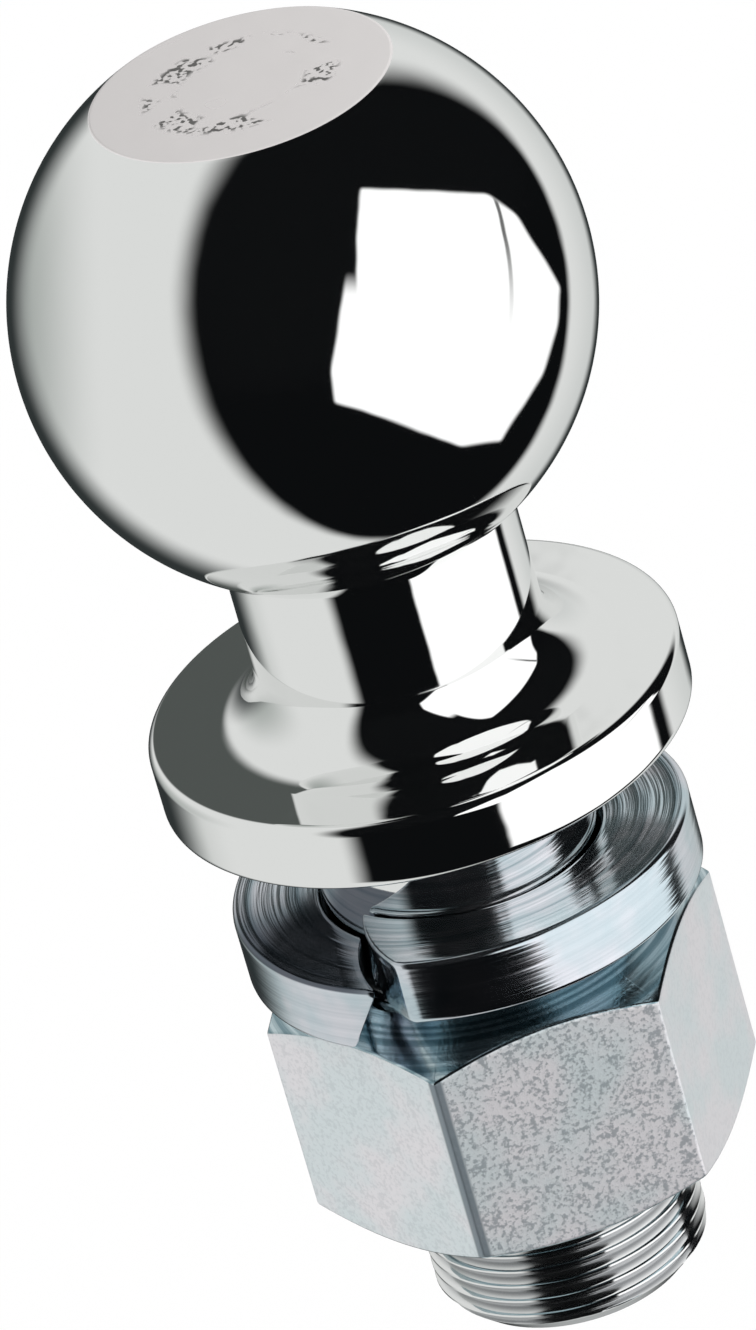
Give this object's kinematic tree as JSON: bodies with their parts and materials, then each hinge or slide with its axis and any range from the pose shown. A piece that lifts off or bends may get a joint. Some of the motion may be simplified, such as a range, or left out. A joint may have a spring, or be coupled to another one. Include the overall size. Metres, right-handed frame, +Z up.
{
  "type": "trailer hitch ball",
  "caption": "Tow ball with a flat top on a one-piece neck, flange and threaded shank, with a split lock washer and a hex nut that unscrews off the end.",
  "frame": {"origin": "centre of the seat: the flat underside of the flange, where the shank leaves it", "axes": "+Z up the shank's axis through the ball, -Y towards the front, where the washer's split lies a little to the left"},
  "size_m": [0.0508, 0.0508, 0.1219],
  "materials": {
    "polished_chrome": "mirror-polished chrome plate over forged steel; the flat on top is bright but satin, with a ring of plain punch marks",
    "washer_zinc": "bright clear-blue zinc plate on spring steel, lightly streaked along the coil",
    "nut_zinc": "clear zinc plate with a faint blue and pink cast, satin and finely speckled on the flats"
  },
  "bodies": {
    "stud": {"ball_stud": "polished_chrome"},
    "washer": {"lock_washer": "washer_zinc"},
    "nut": {"hex_nut": "nut_zinc"}
  },
  "joints": [
    {"name": "washer_slide", "type": "slide", "parent": "stud", "child": "washer", "axis": [0, 0, -1], "range_m": [0, 0.037]},
    {"name": "nut_turn", "type": "hinge", "parent": "washer", "child": "nut", "pos_m": [0, 0, -0.03], "axis": [0, 0, -1], "range_deg": [0, 8388]}
  ],
  "couplings": [
    {"joint": "washer_slide", "follows": "nut_turn", "m_per_rad": 0.00025266}
  ]
}
